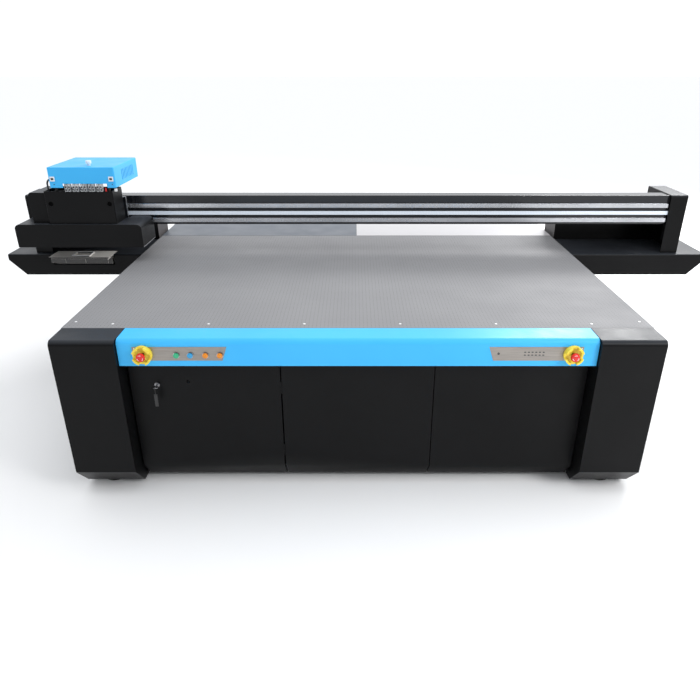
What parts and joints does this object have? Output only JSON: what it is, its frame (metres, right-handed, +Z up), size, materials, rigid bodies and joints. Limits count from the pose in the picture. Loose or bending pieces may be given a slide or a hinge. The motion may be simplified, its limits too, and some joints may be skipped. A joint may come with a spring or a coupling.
{
  "type": "flatbed uv printer",
  "caption": "Large flatbed inkjet printer: cabinet base with a flat vacuum table, a gantry that travels over it, and a print carriage on the gantry's beam.",
  "frame": {"origin": "on the floor under the middle of the machine's width and depth, with the gantry parked near the rear", "axes": "+X along the gantry's beam to the operator's right, +Y from the operator's side to the rear, +Z up"},
  "size_m": [4.46, 2.27, 1.4],
  "materials": {
    "black_frame": "satin black powder coat",
    "black_cover": "fine textured black powder coat",
    "blue_cover": "semi gloss sky blue powder coat",
    "side_plate": "satin grey paint on steel plate",
    "machined_aluminium": "machined",
    "black_aluminium": "black anodised",
    "ground_steel": "ground",
    "stainless": "brushed",
    "control_plate": "brushed, brown grey",
    "table_sheet": "hard anodised, drilled with small holes",
    "table_core": "plain",
    "rear_plate": "smooth gloss",
    "cast_motor": "black painted motor",
    "belt": "pale polyurethane belt",
    "black_plastic": "moulded",
    "yellow_plastic": "moulded",
    "red_plastic": "moulded",
    "green_lens": "translucent lens",
    "blue_lens": "translucent lens",
    "orange_lens": "translucent lens",
    "chrome": "plated",
    "clear_plastic": "clear moulding",
    "white_plastic": "moulded",
    "foot_rubber": "moulded foot"
  },
  "bodies": {
    "base": {"base_frame": "black_frame", "base_panels": "black_cover", "button_bezels": "chrome", "control_cabinet": "stainless", "control_plates": "control_plate", "control_strip": "blue_cover", "estop_guards": "yellow_plastic", "frame_side_rails": "black_frame", "front_panels": "black_cover", "leg_covers": "black_cover", "levelling_feet": "foot_rubber", "rear_covers": "rear_plate", "table_core": "table_core", "table_top": "table_sheet", "vacuum_blower": "machined_aluminium", "y_motors": "cast_motor", "y_rail_beams": "machined_aluminium", "y_rails": "ground_steel"},
    "door": {"front_door": "black_cover", "lock_barrel": "chrome"},
    "lock": {"lock_key": "chrome"},
    "green_button": {"green_button": "green_lens"},
    "blue_button": {"blue_button": "blue_lens"},
    "left_orange_button": {"left_orange_button": "orange_lens"},
    "right_orange_button": {"right_orange_button": "orange_lens"},
    "left_estop_stem": {"left_estop_stem": "black_plastic"},
    "left_estop_head": {"left_estop_head": "red_plastic"},
    "right_estop_stem": {"right_estop_stem": "black_plastic"},
    "right_estop_head": {"right_estop_head": "red_plastic"},
    "left_y_screw": {"left_y_screw": "ground_steel"},
    "right_y_screw": {"right_y_screw": "ground_steel"},
    "gantry": {"gantry_beam": "black_aluminium", "x_rails": "ground_steel", "drive_belt": "belt", "beam_brackets": "black_frame", "x_motor": "cast_motor", "gantry_covers": "black_cover", "left_wing": "black_cover", "right_wing": "black_cover", "gantry_frames": "side_plate", "y_bearing_blocks": "ground_steel", "capping_tray": "stainless", "ink_tanks": "white_plastic"},
    "drive_pulley": {"drive_pulley": "machined_aluminium"},
    "idler_pulley": {"idler_pulley": "machined_aluminium"},
    "carriage": {"saddle_plate": "machined_aluminium", "x_bearing_blocks": "ground_steel", "z_motor": "cast_motor"},
    "z_screw": {"z_screw": "ground_steel"},
    "head": {"head_housing": "black_cover", "head_skirt": "black_cover", "uv_lamps": "black_frame", "head_frame": "machined_aluminium", "print_heads": "black_plastic", "ink_dampers": "clear_plastic", "lift_bracket": "machined_aluminium", "carriage_cover": "blue_cover", "lamp_conduit": "black_plastic"},
    "left_cover_latch": {"left_cover_latch": "white_plastic"},
    "right_cover_latch": {"right_cover_latch": "white_plastic"}
  },
  "joints": [
    {"name": "gantry_travel", "type": "slide", "parent": "base", "child": "gantry", "axis": [0, 1, 0], "range_m": [-1.19, 0.12]},
    {"name": "left_y_screw_spin", "type": "hinge", "parent": "base", "child": "left_y_screw", "pos_m": [-1.322, 0, 0.775], "axis": [0, 1, 0], "continuous": true},
    {"name": "right_y_screw_spin", "type": "hinge", "parent": "base", "child": "right_y_screw", "pos_m": [1.322, 0, 0.775], "axis": [0, 1, 0], "continuous": true},
    {"name": "carriage_travel", "type": "slide", "parent": "gantry", "child": "carriage", "axis": [1, 0, 0], "range_m": [0, 3.2]},
    {"name": "drive_pulley_spin", "type": "hinge", "parent": "gantry", "child": "drive_pulley", "pos_m": [2.007, 0.378, 1.054], "axis": [0, 0, 1], "continuous": true},
    {"name": "idler_pulley_spin", "type": "hinge", "parent": "gantry", "child": "idler_pulley", "pos_m": [-2.007, 0.378, 1.054], "axis": [0, 0, 1], "continuous": true},
    {"name": "head_lift", "type": "slide", "parent": "carriage", "child": "head", "axis": [0, 0, 1], "range_m": [-0.08, 0.015]},
    {"name": "z_screw_spin", "type": "hinge", "parent": "carriage", "child": "z_screw", "pos_m": [-1.62, 0.273, 1.1], "axis": [0, 0, 1], "continuous": true},
    {"name": "door_hinge", "type": "hinge", "parent": "base", "child": "door", "pos_m": [-0.35325, -1.0275, 0.38], "axis": [0, 0, 1], "range_deg": [0, 110]},
    {"name": "key_turn", "type": "hinge", "parent": "door", "child": "lock", "pos_m": [-0.925, -1.026, 0.566], "axis": [0, 1, 0], "range_deg": [0, 90]},
    {"name": "green_button_press", "type": "slide", "parent": "base", "child": "green_button", "axis": [0, 1, 0], "range_m": [0, 0.003], "stiffness_N_per_m": 700, "springref_m": -0.002},
    {"name": "blue_button_press", "type": "slide", "parent": "base", "child": "blue_button", "axis": [0, 1, 0], "range_m": [0, 0.003], "stiffness_N_per_m": 700, "springref_m": -0.002},
    {"name": "left_orange_button_press", "type": "slide", "parent": "base", "child": "left_orange_button", "axis": [0, 1, 0], "range_m": [0, 0.003], "stiffness_N_per_m": 700, "springref_m": -0.002},
    {"name": "right_orange_button_press", "type": "slide", "parent": "base", "child": "right_orange_button", "axis": [0, 1, 0], "range_m": [0, 0.003], "stiffness_N_per_m": 700, "springref_m": -0.002},
    {"name": "left_estop_push", "type": "slide", "parent": "base", "child": "left_estop_stem", "axis": [0, 1, 0], "range_m": [0, 0.006]},
    {"name": "left_estop_twist", "type": "hinge", "parent": "left_estop_stem", "child": "left_estop_head", "pos_m": [-0.945, -1.12, 0.752], "axis": [0, 1, 0], "range_deg": [0, 45], "stiffness_Nm_per_rad": 0.2, "springref_deg": -5.73},
    {"name": "right_estop_push", "type": "slide", "parent": "base", "child": "right_estop_stem", "axis": [0, 1, 0], "range_m": [0, 0.006]},
    {"name": "right_estop_twist", "type": "hinge", "parent": "right_estop_stem", "child": "right_estop_head", "pos_m": [0.945, -1.12, 0.752], "axis": [0, 1, 0], "range_deg": [0, 45], "stiffness_Nm_per_rad": 0.2, "springref_deg": -5.73},
    {"name": "left_latch_turn", "type": "hinge", "parent": "head", "child": "left_cover_latch", "pos_m": [-1.742, 0.077, 1.309], "axis": [0, 1, 0], "range_deg": [0, 90]},
    {"name": "right_latch_turn", "type": "hinge", "parent": "head", "child": "right_cover_latch", "pos_m": [-1.407, 0.077, 1.309], "axis": [0, 1, 0], "range_deg": [0, 90]}
  ],
  "couplings": [
    {"joint": "left_y_screw_spin", "follows": "gantry_travel", "rad_per_m": 314.16},
    {"joint": "right_y_screw_spin", "follows": "gantry_travel", "rad_per_m": 314.16},
    {"joint": "drive_pulley_spin", "follows": "carriage_travel", "rad_per_m": 37.037},
    {"joint": "idler_pulley_spin", "follows": "carriage_travel", "rad_per_m": 37.037},
    {"joint": "z_screw_spin", "follows": "head_lift", "rad_per_m": 628.32}
  ]
}
